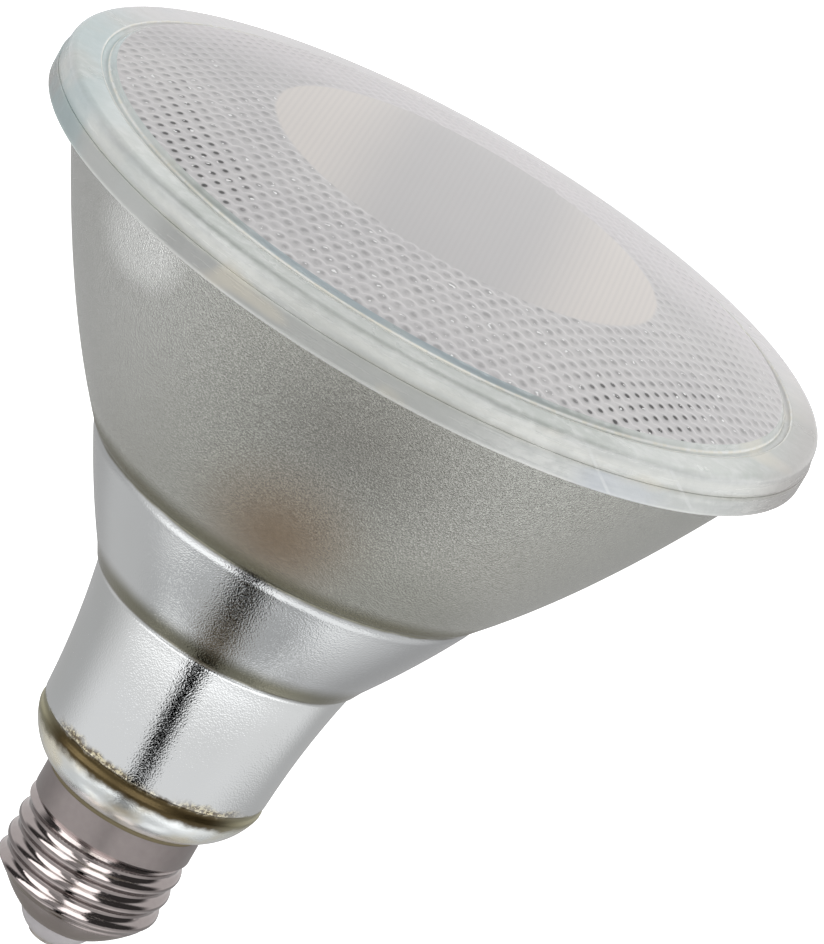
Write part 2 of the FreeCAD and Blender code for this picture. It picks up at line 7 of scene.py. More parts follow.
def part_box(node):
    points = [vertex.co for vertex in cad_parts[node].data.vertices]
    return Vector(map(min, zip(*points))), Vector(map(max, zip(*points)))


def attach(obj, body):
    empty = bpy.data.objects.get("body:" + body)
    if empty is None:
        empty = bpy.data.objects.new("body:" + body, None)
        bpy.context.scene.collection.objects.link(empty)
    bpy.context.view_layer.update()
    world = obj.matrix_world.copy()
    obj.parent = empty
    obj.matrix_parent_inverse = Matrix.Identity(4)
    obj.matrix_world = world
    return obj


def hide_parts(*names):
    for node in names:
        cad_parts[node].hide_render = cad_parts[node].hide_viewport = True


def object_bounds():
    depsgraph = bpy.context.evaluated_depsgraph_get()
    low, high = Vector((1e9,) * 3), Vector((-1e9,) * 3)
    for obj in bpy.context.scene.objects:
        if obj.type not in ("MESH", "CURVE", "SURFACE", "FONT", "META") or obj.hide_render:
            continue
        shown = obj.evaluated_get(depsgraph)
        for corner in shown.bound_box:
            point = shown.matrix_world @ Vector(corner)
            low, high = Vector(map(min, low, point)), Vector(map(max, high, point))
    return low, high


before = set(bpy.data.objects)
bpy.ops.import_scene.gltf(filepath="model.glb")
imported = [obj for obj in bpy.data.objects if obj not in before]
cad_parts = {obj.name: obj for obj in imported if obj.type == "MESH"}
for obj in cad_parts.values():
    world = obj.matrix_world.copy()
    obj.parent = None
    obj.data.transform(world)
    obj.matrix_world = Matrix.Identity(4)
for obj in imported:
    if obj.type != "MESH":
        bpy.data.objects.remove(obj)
CAD_LOW, CAD_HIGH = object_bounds()
MM = 0.001

# The photograph's camera, in the lamp's own frame: +Z runs from the cap to the lens
PICTURE_LONG_SIDE = 944
FOCAL_IN_PIXELS = 5720.7
SENSOR = 36.0
CAMERA_PLACE = Vector((0.0, -0.788, 0.3563))
CAMERA_AIM = Vector((0.01245, 0.0, 0.0928))
CAMERA_ROLL = math.radians(30.2)

# Heights and radii of the pressed glass, in millimetres, from its box and the sizes seen in the photograph
GLASS_LOW, GLASS_HIGH = (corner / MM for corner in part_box("reflector_bowl"))
LENS_LOW, LENS_HIGH = (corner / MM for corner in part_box("front_lens"))
FLANGE_RADIUS = GLASS_HIGH.x
FLANGE_TOP = GLASS_HIGH.z
FLANGE_THICKNESS = 3.3
FLANGE_BOTTOM = FLANGE_TOP - FLANGE_THICKNESS
MOUTH_RADIUS = 57.5
MOUTH_WALL = 2.9
BOWL_HEIGHT = 41.2
BOWL_BOTTOM = FLANGE_BOTTOM - BOWL_HEIGHT
BOWL_FOOT_RADIUS = 32.9
BOWL_FOOT_WALL = 3.4
STEP_HEIGHT = 1.5
BAND_TOP = BOWL_BOTTOM - STEP_HEIGHT
BAND_TOP_RADIUS = 32.1
BAND_HEIGHT = 17.7
BAND_BOTTOM = BAND_TOP - BAND_HEIGHT
BAND_FOOT_RADIUS = 22.1
NECK_TOP = BAND_BOTTOM - STEP_HEIGHT
NECK_TOP_RADIUS = 21.3
NECK_HEIGHT = 24.2
NECK_BOTTOM = NECK_TOP - NECK_HEIGHT
NECK_BOTTOM_RADIUS = 18.6
ROUNDED_END_HEIGHT = 7.1
GLASS_END = NECK_BOTTOM - ROUNDED_END_HEIGHT
GLASS_END_RADIUS = 12.9
STEM_LOW = GLASS_LOW.z
STEM_RADIUS = 12.0
STEM_BORE = 9.6
GLASS_WALL = 2.6

# How far each arc of the section stands off its straight line, and the fillets at the steps and the flange
END_CROWN = 1.0
GROOVE_DEPTH = 0.35
NECK_WAIST = 0.42
BAND_CROWN = 0.3
NECK_TOP_FILLET = 1.7
BAND_FOOT_FILLET = 0.6
BAND_TOP_FILLET = 4.2
UPPER_STEP_FILLET = 0.5
BOWL_FOOT_FILLET = 0.35
FLANGE_UNDER_FILLET = 0.5
FLANGE_EDGE_FILLET = 0.6
SEAM_FILLET = 0.1

# The front lens
LENS_APEX = LENS_HIGH.z
LENS_BOTTOM = LENS_LOW.z
LENS_FLANGE_THICKNESS = 3.0
LENS_SHOULDER = LENS_BOTTOM + LENS_FLANGE_THICKNESS
LENS_THICKNESS = 3.4
LENS_BACK_RADIUS = MOUTH_RADIUS - 3.8
LENS_BACK_LIFT = 0.7
LENS_EDGE_FILLET = 1.2
FIELD_RADIUS = 54.2
FIELD_RISE = 6.3
CENTRE_RADIUS = 31.2
BEAD_RADIUS = 55.6
BEAD_WIDTH = 1.1
BEAD_CROWN = 0.55
SEAM_FILL = 0.3
LENSLET_PITCH = 2.48
LENSLET_HEIGHT = 0.32
LENSLET_FADE = 0.4
FINE_PITCH = 0.9

# How finely the turned meshes are divided
SEGMENTS = 256
LENS_SEGMENTS = 840
CENTRE_RINGS = 8
FIELD_RINGS = 70
BACK_RINGS = 7


def linear(red, green, blue):
    """A colour given as 0 to 255 screen values."""
    shares = [c / 255 for c in (red, green, blue)]
    return tuple(c / 12.92 if c <= 0.04045 else ((c + 0.055) / 1.055) ** 2.4 for c in shares) + (1.0,)


# Profiles and turned meshes

def arc_points(start, end, bulge, count):
    """Points from start to end along an arc that stands out by bulge to the right of its run."""
    start, end = Vector(start), Vector(end)
    run = end - start
    side = Vector((run.y, -run.x)).normalized()
    if abs(bulge) < 1e-6:
        return [start, end]
    radius = (run.length ** 2 / 4 + bulge ** 2) / (2 * bulge)
    centre = (start + end) / 2 + side * (bulge - radius)
    first = math.atan2(start.y - centre.y, start.x - centre.x)
    sweep = 2 * math.asin(max(-1.0, min(1.0, run.length / 2 / radius)))
    turn = -1 if (start - centre).cross(end - centre) < 0 else 1
    return [centre + abs(radius) * Vector((math.cos(first + turn * abs(sweep) * i / count),
                                           math.sin(first + turn * abs(sweep) * i / count)))
            for i in range(count + 1)]


def rounded(points, steps=6):
    """A profile whose corners, given as (radius, height, fillet), become arcs."""
    line = []
    for index, point in enumerate(points):
        corner = Vector(point[:2])
        fillet = point[2] if len(point) > 2 else 0
        if not fillet:
            line.append(corner)
            continue
        before = (Vector(points[index - 1][:2]) - corner).normalized()
        after = (Vector(points[(index + 1) % len(points)][:2]) - corner).normalized()
        half = before.angle(after) / 2
        reach = fillet / math.tan(half)
        centre = corner + (before + after).normalized() * (fillet / math.sin(half))
        start = corner + before * reach - centre
        end = corner + after * reach - centre
        for step in range(steps + 1):
            share = step / steps
            spoke = start.lerp(end, share).normalized() * fillet
            line.append(centre + spoke)
    return line


def turned(name, profile, segments, height=None):
    """A closed profile swept round the lamp's axis. height(x, y, z) may move a point up or down."""
    vertices = []
    rings = []
    for radius, level in profile:
        if radius < 1e-6:
            rings.append([len(vertices)])
            vertices.append((0.0, 0.0, level * MM))
            continue
        rings.append(list(range(len(vertices), len(vertices) + segments)))
        for step in range(segments):
            angle = math.tau * step / segments
            x, y = radius * math.cos(angle), radius * math.sin(angle)
            z = height(x, y, level) if height else level
            vertices.append((x * MM, y * MM, z * MM))
    faces = []
    for lower, upper in zip(rings, rings[1:] + rings[:1]):
        if len(lower) == 1 and len(upper) == 1:
            continue
        for step in range(segments):
            ahead = (step + 1) % segments
            if len(lower) == 1:
                faces.append((lower[0], upper[ahead], upper[step]))
            elif len(upper) == 1:
                faces.append((lower[step], lower[ahead], upper[0]))
            else:
                faces.append((lower[step], lower[ahead], upper[ahead], upper[step]))
    return mesh_object(name, vertices, faces)


def mesh_object(name, vertices, faces):
    mesh = bpy.data.meshes.new(name)
    mesh.from_pydata(vertices, [], faces)
    mesh.validate()
    mesh.update()
    mesh.shade_smooth()
    piece = bpy.data.objects.new(name, mesh)
    bpy.context.collection.objects.link(piece)
    return piece


# Shader nodes

class NodeTree:
    """Short calls that add nodes to a tree. A value is another node's output or a plain number."""

    def __init__(self, tree):
        self.tree = tree

    def node(self, kind, **settings):
        made = self.tree.nodes.new(kind)
        for key, value in settings.items():
            setattr(made, key, value)
        return made

    def put(self, socket, value):
        if isinstance(value, bpy.types.NodeSocket):
            self.tree.links.new(value, socket)
        else:
            socket.default_value = value

    def calc(self, operation, a, b=0.0):
        made = self.node("ShaderNodeMath", operation=operation)
        for socket, value in zip(made.inputs, (a, b)):
            self.put(socket, value)
        return made.outputs[0]

    def times(self, a, b):
        return self.calc("MULTIPLY", a, b)

    def plus(self, a, b):
        return self.calc("ADD", a, b)

    def minus(self, a, b):
        return self.calc("SUBTRACT", a, b)

    def distance(self, value, place):
        """How far a value lies from a place on either side."""
        return self.calc("ABSOLUTE", self.minus(value, place))

    def span(self, value, low, high, start=0.0, end=1.0):
        """start below low and end above high, with a smooth change between."""
        made = self.node("ShaderNodeMapRange", interpolation_type="SMOOTHSTEP")
        for socket, number in zip(made.inputs, (value, low, high, start, end)):
            self.put(socket, number)
        return made.outputs[0]

    def mix(self, share, a, b):
        made = self.node("ShaderNodeMix", data_type="RGBA")
        self.put(made.inputs[0], share)
        self.put(made.inputs[6], a)
        self.put(made.inputs[7], b)
        return made.outputs[2]


class Surface(NodeTree):
    """One procedural material."""

    def __init__(self, name):
        self.material = bpy.data.materials.new(name)
        self.material.use_nodes = True
        super().__init__(self.material.node_tree)
        self.shader = self.tree.nodes["Principled BSDF"]
        self.place = self.node("ShaderNodeTexCoord").outputs["Object"]

    def set(self, **values):
        for name, value in values.items():
            self.put(self.shader.inputs[name.replace("_", " ")], value)

    def noise(self, scale, detail=2.0, stretch=(1, 1, 1), roughness=0.5):
        """Noise with this many features a metre."""
        mapping = self.node("ShaderNodeMapping")
        mapping.inputs["Scale"].default_value = stretch
        self.put(mapping.inputs["Vector"], self.place)
        made = self.node("ShaderNodeTexNoise")
        made.inputs["Scale"].default_value = scale
        made.inputs["Detail"].default_value = detail
        made.inputs["Roughness"].default_value = roughness
        self.put(made.inputs["Vector"], mapping.outputs[0])
        return made.outputs["Fac"]

    def axes(self):
        split = self.node("ShaderNodeSeparateXYZ")
        self.put(split.inputs[0], self.place)
        return split.outputs

    def radius(self):
        x, y, _ = self.axes()
        return self.calc("SQRT", self.plus(self.times(x, x), self.times(y, y)))

    def jitter(self, scale, detail, width):
        """Noise round 0 that is this wide from end to end."""
        return self.times(self.minus(self.noise(scale, detail), 0.5), width)

    def bump(self, height, distance, strength):
        made = self.node("ShaderNodeBump")
        made.inputs["Distance"].default_value = distance
        self.put(made.inputs["Strength"], strength)
        self.put(made.inputs["Height"], height)
        self.put(self.shader.inputs["Normal"], made.outputs[0])


# The pressed bowl

def parabola_points(low, high, count):
    rate = (high[1] - low[1]) / (high[0] ** 2 - low[0] ** 2)
    vertex = low[1] - rate * low[0] ** 2
    radii = [low[0] + (high[0] - low[0]) * i / count for i in range(count + 1)]
    return [Vector((r, vertex + rate * r * r)) for r in radii]


def glass_profile():
    """The closed half section: outside from the stem up to the flange, then inside back down."""
    groove_low = (NECK_BOTTOM_RADIUS, NECK_BOTTOM + 0.4)
    groove_high = (NECK_BOTTOM_RADIUS + 0.03, NECK_BOTTOM + 2.0)
    neck_low = (NECK_BOTTOM_RADIUS + 0.05, NECK_BOTTOM + 2.3)
    neck_high = (NECK_TOP_RADIUS - 0.05, NECK_TOP - 0.4)
    band_low = (BAND_FOOT_RADIUS + 0.1, BAND_BOTTOM + 0.1)
    band_high = (BAND_TOP_RADIUS - 0.5, BAND_TOP - 1.0)
    rim_bore = (MOUTH_RADIUS - MOUTH_WALL, FLANGE_TOP)

    stem = [Vector((STEM_RADIUS, STEM_LOW)), Vector((STEM_RADIUS, GLASS_END))]
    end = arc_points((GLASS_END_RADIUS, GLASS_END), (NECK_BOTTOM_RADIUS, NECK_BOTTOM), END_CROWN, 14)
    groove = arc_points(groove_low, groove_high, -GROOVE_DEPTH, 8)
    neck = arc_points(neck_low, neck_high, -NECK_WAIST, 16)
    band = arc_points(band_low, band_high, BAND_CROWN, 14)
    bowl = parabola_points((BOWL_FOOT_RADIUS, BOWL_BOTTOM), (MOUTH_RADIUS, FLANGE_BOTTOM), 40)
    lower_step = rounded([
        neck[-2][:],
        (NECK_TOP_RADIUS + 0.05, NECK_TOP + 0.15, NECK_TOP_FILLET),
        (BAND_FOOT_RADIUS - 0.05, BAND_BOTTOM - 0.5, BAND_FOOT_FILLET),
        band[1][:],
    ], 9)
    upper_step = rounded([
        band[-2][:],
        (BAND_TOP_RADIUS - 0.1, BAND_TOP - 0.2, BAND_TOP_FILLET),
        (BAND_TOP_RADIUS + 0.02, BOWL_BOTTOM - 0.45, UPPER_STEP_FILLET),
        (BOWL_FOOT_RADIUS - 0.08, BOWL_BOTTOM - 0.15, BOWL_FOOT_FILLET),
        bowl[2][:],
    ], 8)
    flange = rounded([
        bowl[-2][:],
        (MOUTH_RADIUS, FLANGE_BOTTOM, FLANGE_UNDER_FILLET),
        (FLANGE_RADIUS, FLANGE_BOTTOM, FLANGE_EDGE_FILLET),
        (FLANGE_RADIUS, FLANGE_TOP, SEAM_FILLET),
        rim_bore,
    ])
    outside = stem + end + groove + neck + lower_step[1:-1] + band[1:]
    outside += upper_step[1:-1] + bowl[2:-1] + flange[1:]

    bowl_bore = parabola_points((BOWL_FOOT_RADIUS - BOWL_FOOT_WALL, BOWL_BOTTOM), rim_bore, 24)
    neck_bore = [
        Vector((BAND_FOOT_RADIUS - GLASS_WALL, BAND_BOTTOM + 0.8)),
        Vector((NECK_TOP_RADIUS - GLASS_WALL, NECK_TOP)),
        Vector((NECK_BOTTOM_RADIUS - GLASS_WALL, NECK_BOTTOM + 1)),
        Vector((STEM_BORE, GLASS_END + GLASS_WALL)),
        Vector((STEM_BORE, STEM_LOW)),
    ]
    return outside + bowl_bore[-2::-1] + neck_bore


def silvered_glass():
    """Silvering behind glass: dull and finely pebbled on the bowl, bright below it, bare at the end."""
    s = Surface("silvered_glass")
    x, _, height = s.axes()
    z = s.calc("DIVIDE", height, MM)
    in_bowl = s.span(z, BOWL_BOTTOM - 0.4, BOWL_BOTTOM + 0.5)
    patches = s.noise(34, 3)
    silver = s.mix(in_bowl, linear(236, 238, 239), linear(198, 199, 193))
    silver = s.mix(s.span(patches, 0.35, 0.75, 0.0, 0.2), silver, linear(186, 184, 172))

    # Painted reflections, shade and highlights on the bowl and band, placed in millimetres across the bulb
    # and along it
    peel = s.noise(3900, 1.0, roughness=0.5)
    # Painted dark reflection on the front of the bowl
    front = s.times(in_bowl, round_patch(s, 3, BOWL_BOTTOM + 30, 0, 25))
    silver = s.mix(s.times(front, 0.95), silver, linear(164, 163, 157))
    # Painted shade: the pebbling shows dark only on the front of the bowl
    peel_shade_front = s.times(in_bowl, round_patch(s, 0, BOWL_BOTTOM + 24, 4, 42))
    silver = s.mix(s.times(peel_shade_front, s.span(peel, 0.36, 0.64, 0.36, 0.0)), silver, linear(108, 107, 102))
    # Painted light: the bowl is paler on its left side
    lit_left_side = s.times(in_bowl, s.span(x, -16 * MM, -42 * MM, 0.0, 0.8))
    silver = s.mix(lit_left_side, silver, linear(222, 223, 220))
    # Painted highlight just under the flange on the left
    glint = s.times(in_bowl, round_patch(s, -36, FLANGE_BOTTOM - 4, 3, 9))
    silver = s.mix(s.times(glint, 0.9), silver, linear(250, 251, 249))
    # Painted shade on the band, heaviest on the right
    on_band = s.minus(s.span(z, BAND_BOTTOM - 0.4, BAND_BOTTOM + 0.5), in_bowl)
    silver = s.mix(s.times(on_band, s.span(x, 2 * MM, 9 * MM, 0.45, 1.0)), silver, linear(202, 204, 205))
    # Painted warm reflection low on the front of the bowl
    warm = s.times(in_bowl, round_patch(s, 0, BOWL_BOTTOM + 8.5, 0, 18))
    silver = s.mix(s.times(warm, 0.85), silver, linear(144, 124, 99))
    # Painted shade low on the right of the bowl
    low_right_shade = s.times(in_bowl, round_patch(s, 20, BOWL_BOTTOM + 4, 4, 16))
    silver = s.mix(s.times(low_right_shade, 0.6), silver, linear(168, 169, 161))

    # Darker olive rings at both steps: painted shade in the creases, partly the glass's own olive
    corner = s.plus(z, s.jitter(260, 2, 0.5))
    steps = s.calc("MAXIMUM", shaded_step(s, corner, BOWL_BOTTOM), shaded_step(s, corner, BAND_BOTTOM))
    silver = s.mix(steps, silver, linear(122, 119, 98))

    # The silvering ends in a speckled edge above the neck's foot, and the glass below it is bare
    level = s.plus(z, s.jitter(420, 4, 2.2))
    sides = s.span(s.calc("ABSOLUTE", s.calc("DIVIDE", x, MM)), 12, 18)
    coated = s.span(level, NECK_BOTTOM + 1.5, NECK_BOTTOM + 2.4)
    rounded_end = s.span(level, NECK_BOTTOM - 0.1, NECK_BOTTOM - 1.6)
    glassy = s.mix(s.span(s.noise(110, 3), 0.4, 0.6), linear(236, 240, 240), linear(238, 232, 214))
    olive = s.mix(s.noise(300, 3), linear(62, 50, 27), linear(92, 78, 48))
    # Towards the left and right sides the olive is paler and the bare end a darker cream: painted reflection
    olive = s.mix(s.times(sides, 0.8), olive, linear(168, 164, 136))
    glassy = s.mix(s.times(sides, 0.6), glassy, linear(190, 187, 162))
    bare = s.mix(rounded_end, olive, glassy)
    flecks = s.noise(1700, 3, roughness=0.7)
    gold = s.mix(s.span(flecks, 0.47, 0.56), linear(104, 86, 52), linear(240, 228, 190))
    tint = s.mix(coated, bare, silver)
    edge = s.times(line_at(s, level, NECK_BOTTOM + 2.4, 1.2), s.span(s.noise(130, 2), 0.32, 0.5))
    tint = s.mix(s.times(edge, s.minus(0.9, sides)), tint, gold)
    joint = s.span(z, GLASS_END + 0.9, GLASS_END + 0.3)
    tint = s.mix(s.times(joint, 0.8), tint, linear(120, 110, 66))

    # The pebbling is full on the bowl and faint on the band and neck
    fine = s.span(z, BAND_BOTTOM - 0.2, BAND_BOTTOM + 0.2, 0.15, 0.18)
    s.set(Base_Color=tint, IOR=1.5)
    bare_shine = s.mix(rounded_end, (0.75, 0.75, 0.75, 1), (0.7, 0.7, 0.7, 1))
    s.set(Metallic=s.mix(coated, bare_shine, (1, 1, 1, 1)))
    smooth = s.span(in_bowl, 0.0, 1.0, 0.06, 0.24)
    dull = s.times(s.minus(1.0, coated), s.span(rounded_end, 0.0, 1.0, 0.25, 0.02))
    s.set(Roughness=s.plus(s.plus(smooth, dull), s.times(patches, 0.04)))
    s.bump(peel, 0.00022, s.calc("MAXIMUM", in_bowl, fine))
    return s.material


def round_patch(s, across, level, inner, outer):
    """1 within a distance of a point on the front of the lamp, falling to 0 at the outer distance."""
    x, y, height = (s.calc("DIVIDE", axis, MM) for axis in s.axes())
    off = s.calc("POWER", s.minus(x, across), 2)
    off = s.plus(off, s.calc("POWER", s.minus(height, level), 2))
    near = s.span(s.calc("SQRT", off), inner, outer, 1.0, 0.0)
    return s.times(near, s.calc("LESS_THAN", y, 0.0))


def shaded_step(s, z, bottom):
    """A ring of painted shade, partly the glass's own olive, where the glass steps in: sharp below, fading
    upward.
    """
    return s.times(s.span(z, bottom - 1.2, bottom - 0.6), s.span(z, bottom + 0.5, bottom + 3.8, 0.9, 0.0))


def line_at(s, z, level, width):
    """1 on a ring at a height, falling to 0 over the width on both sides."""
    return s.span(s.distance(z, level), 0.0, width, 1.0, 0.0)


def milky_glass():
    """The two flanges: cloudy pressed glass, streaked round the lamp, with tints, and with painted
    highlights and painted shade where light falls.
    """
    s = Surface("milky_glass")
    x, y, height = s.axes()
    x = s.calc("DIVIDE", x, MM)
    z = s.calc("DIVIDE", height, MM)
    radius = s.calc("DIVIDE", s.radius(), MM)
    streaks = s.noise(40, 5, stretch=(1, 1, 12), roughness=0.6)
    mottle = s.noise(420, 4, stretch=(1, 1, 1.6), roughness=0.6)
    pale = s.mix(s.span(streaks, 0.34, 0.66), linear(206, 209, 208), linear(234, 236, 233))
    pale = s.mix(s.span(mottle, 0.4, 0.62, 0.0, 0.4), pale, linear(190, 194, 192))

    level = s.plus(z, s.jitter(90, 2, 0.7))
    brow = s.span(level, LENS_SHOULDER - 0.9, LENS_SHOULDER - 0.1)
    brow = s.times(brow, s.span(mottle, 0.3, 0.6, 0.4, 0.9))
    pale = s.mix(brow, pale, linear(184, 190, 184))
    # Painted highlight along the lower edge of the lens foot
    pale = s.mix(s.times(line_at(s, level, LENS_BOTTOM + 1.0, 1.1), 0.5), pale, linear(238, 239, 233))
    seam = s.times(line_at(s, z, FLANGE_TOP, 0.8), s.span(s.noise(60, 3), 0.3, 0.6, 0.1, 0.6))
    pale = s.mix(seam, pale, linear(172, 172, 158))
    # Painted shade on the bowl's flange, lifting towards the right
    lower = s.span(level, FLANGE_TOP + 0.1, FLANGE_TOP - 0.5)
    pale = s.mix(s.times(lower, s.span(x, 4, 34, 0.8, 0.0)), pale, linear(174, 175, 173))
    # Painted highlight along the bottom edge of the bowl's flange
    pale = s.mix(s.times(line_at(s, z, FLANGE_BOTTOM + 0.2, 0.6), 0.8), pale, linear(242, 243, 240))

    aqua = s.times(s.span(x, -34, -58), s.span(s.noise(70, 3), 0.36, 0.58))
    pale = s.mix(s.times(aqua, 0.6), pale, linear(178, 202, 206))
    blue = s.times(s.span(s.distance(x, 37), 3, 8, 1.0, 0.0), lower)
    pale = s.mix(s.times(blue, 0.4), pale, linear(196, 204, 220))
    cream = s.span(s.noise(48, 2, stretch=(1, 1, 3)), 0.6, 0.7, 0.0, 0.5)
    pale = s.mix(cream, pale, linear(230, 222, 202))
    # Painted light on the flanges at both shoulders, about 43 mm to either side
    shoulders = s.span(s.distance(s.calc("ABSOLUTE", x), 43), 5, 11, 0.3, 0.0)
    pale = s.mix(shoulders, pale, linear(244, 247, 244))
    # Painted shade on the front of the flanges
    ahead = s.times(s.span(s.calc("ABSOLUTE", x), 10, 26, 0.32, 0.0), s.span(y, -20 * MM, 0.0, 1.0, 0.0))
    pale = s.mix(ahead, pale, linear(178, 181, 176))
    # Painted shade at the right end of the flanges
    pale = s.mix(s.span(x, 52, 60, 0.0, 0.85), pale, linear(172, 168, 165))
    slant = s.times(s.minus(z, FLANGE_TOP), 1.1)
    short = s.span(z, LENS_SHOULDER - 0.2, LENS_SHOULDER - 1.0)
    short = s.times(short, s.span(mottle, 0.4, 0.55, 0.1, 0.45))
    for place in (33, 45):
        mark = s.distance(s.plus(x, slant), place)
        pale = s.mix(s.times(short, s.span(mark, 0.15, 0.4, 1.0, 0.0)), pale, linear(244, 246, 246))
    away = s.times(s.span(y, 0.0, 30 * MM, 0.0, 0.85), s.span(z, LENS_SHOULDER - 1.5, LENS_SHOULDER - 0.6))
    pale = s.mix(away, pale, linear(216, 212, 214))

    # Painted highlight with sparkles along the crest of the bead
    on_top = s.span(z, LENS_SHOULDER - 0.4, LENS_SHOULDER)
    bead = s.span(s.distance(radius, BEAD_RADIUS), 0.55, 0.85, 1.0, 0.0)
    glints = s.mix(s.span(s.noise(800, 2), 0.4, 0.6), linear(252, 249, 238), linear(255, 255, 252))
    pale = s.mix(s.times(bead, on_top), pale, glints)
    # Painted shade on the inner side of the bead, heaviest at the front
    wall = s.times(s.span(radius, BEAD_RADIUS - 0.55, BEAD_RADIUS - 0.8), on_top)
    shade = s.span(s.calc("ABSOLUTE", s.plus(x, 2)), 16, 30, 1.0, 0.1)
    shade = s.times(shade, s.span(s.noise(160, 3), 0.3, 0.5, 0.55, 1.0))
    pale = s.mix(s.times(wall, shade), pale, linear(176, 188, 193))
    s.set(Base_Color=pale, Transmission_Weight=0.1, IOR=1.48)
    s.set(Roughness=s.span(streaks, 0.3, 0.7, 0.16, 0.32))
    s.bump(mottle, 0.0002, 0.5)
    return s.material


def make_bowl():
    piece = turned("pressed_bowl", glass_profile(), SEGMENTS)
    piece.data.materials.append(silvered_glass())
    piece.data.materials.append(milky_glass())
    milky_from = (FLANGE_BOTTOM - 0.25) * MM
    for face in piece.data.polygons:
        if face.center.z > milky_from:
            face.material_index = 1
    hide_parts("reflector_bowl")
    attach(piece, "root")


# The front lens

def dome_height(radius):
    sphere = (FIELD_RADIUS ** 2 + FIELD_RISE ** 2) / (2 * FIELD_RISE)
    return LENS_APEX - sphere + math.sqrt(sphere ** 2 - radius ** 2)


def lenslet(x, y):
    """Height of a hexagonally packed dome field, from 0 in the corners to 1 on the tops."""
    row_height = LENSLET_PITCH * math.sqrt(3) / 2
    row = round(y / row_height)
    nearest = 1e9
    for near in (row - 1, row, row + 1):
        shift = (near % 2) * LENSLET_PITCH / 2
        column = round((x - shift) / LENSLET_PITCH)
        nearest = min(nearest, math.hypot(x - shift - column * LENSLET_PITCH, y - near * row_height))
    corner = LENSLET_PITCH / math.sqrt(3)
    return 1 - (nearest / corner) ** 2


def front_height(x, y, z):
    """Adds the lenslets to the front surface, between the centre and the field's edge."""
    radius = math.hypot(x, y)
    if z < LENS_SHOULDER or not CENTRE_RADIUS < radius < FIELD_RADIUS - 0.05:
        return z
    if abs(z - dome_height(radius)) > 0.01:
        return z
    fade = min(1.0, (radius - CENTRE_RADIUS) / LENSLET_FADE, (FIELD_RADIUS - radius) / LENSLET_FADE)
    return z + LENSLET_HEIGHT * fade * (lenslet(x, y) - 0.5)


def lens_profile():
    """The closed half section: the front from its apex out, the edge, and the back in again."""
    centre = [CENTRE_RADIUS * math.sin(math.pi / 2 * i / CENTRE_RINGS) for i in range(CENTRE_RINGS)]
    field_width = FIELD_RADIUS - CENTRE_RADIUS
    field = [CENTRE_RADIUS + field_width * i / FIELD_RINGS for i in range(FIELD_RINGS + 1)]
    front = [Vector((r, dome_height(r))) for r in centre + field]

    bead_in = (BEAD_RADIUS - BEAD_WIDTH / 2, LENS_SHOULDER)
    bead_out = (BEAD_RADIUS + BEAD_WIDTH / 2, LENS_SHOULDER)
    seam = LENS_BOTTOM - SEAM_FILL
    bead = arc_points(bead_in, bead_out, -BEAD_CROWN, 8)
    edge = rounded([
        (BEAD_RADIUS + 1, LENS_SHOULDER),
        (FLANGE_RADIUS - 0.6, LENS_SHOULDER, LENS_EDGE_FILLET),
        (FLANGE_RADIUS - 0.15, seam, SEAM_FILLET),
        (FLANGE_RADIUS - 0.9, seam),
        (FLANGE_RADIUS - 0.95, LENS_BOTTOM),
        (LENS_BACK_RADIUS, LENS_BOTTOM),
    ])

    rise = LENS_APEX - LENS_THICKNESS - LENS_BOTTOM - LENS_BACK_LIFT
    sphere = (LENS_BACK_RADIUS ** 2 + rise ** 2) / (2 * rise)
    centre_height = LENS_BOTTOM + LENS_BACK_LIFT + rise - sphere
    back_radii = [LENS_BACK_RADIUS * i / BACK_RINGS for i in range(BACK_RINGS, -1, -1)]
    back = [Vector((r, centre_height + math.sqrt(sphere ** 2 - r ** 2))) for r in back_radii]
    return front + bead + edge + back


def hexagonal(s, along, across, pitch):
    """Squared distances to the nearest lattice points of the even and of the odd rows."""
    row = pitch * math.sqrt(3) / 2

    def offset(value, period, shift):
        value = s.minus(value, shift)
        return s.minus(value, s.times(s.calc("ROUND", s.calc("DIVIDE", value, period)), period))

    def squared(shift_along, shift_across):
        a = offset(along, pitch, shift_along)
        b = offset(across, 2 * row, shift_across)
        return s.plus(s.times(a, a), s.times(b, b))

    return squared(0, 0), squared(pitch / 2, row)


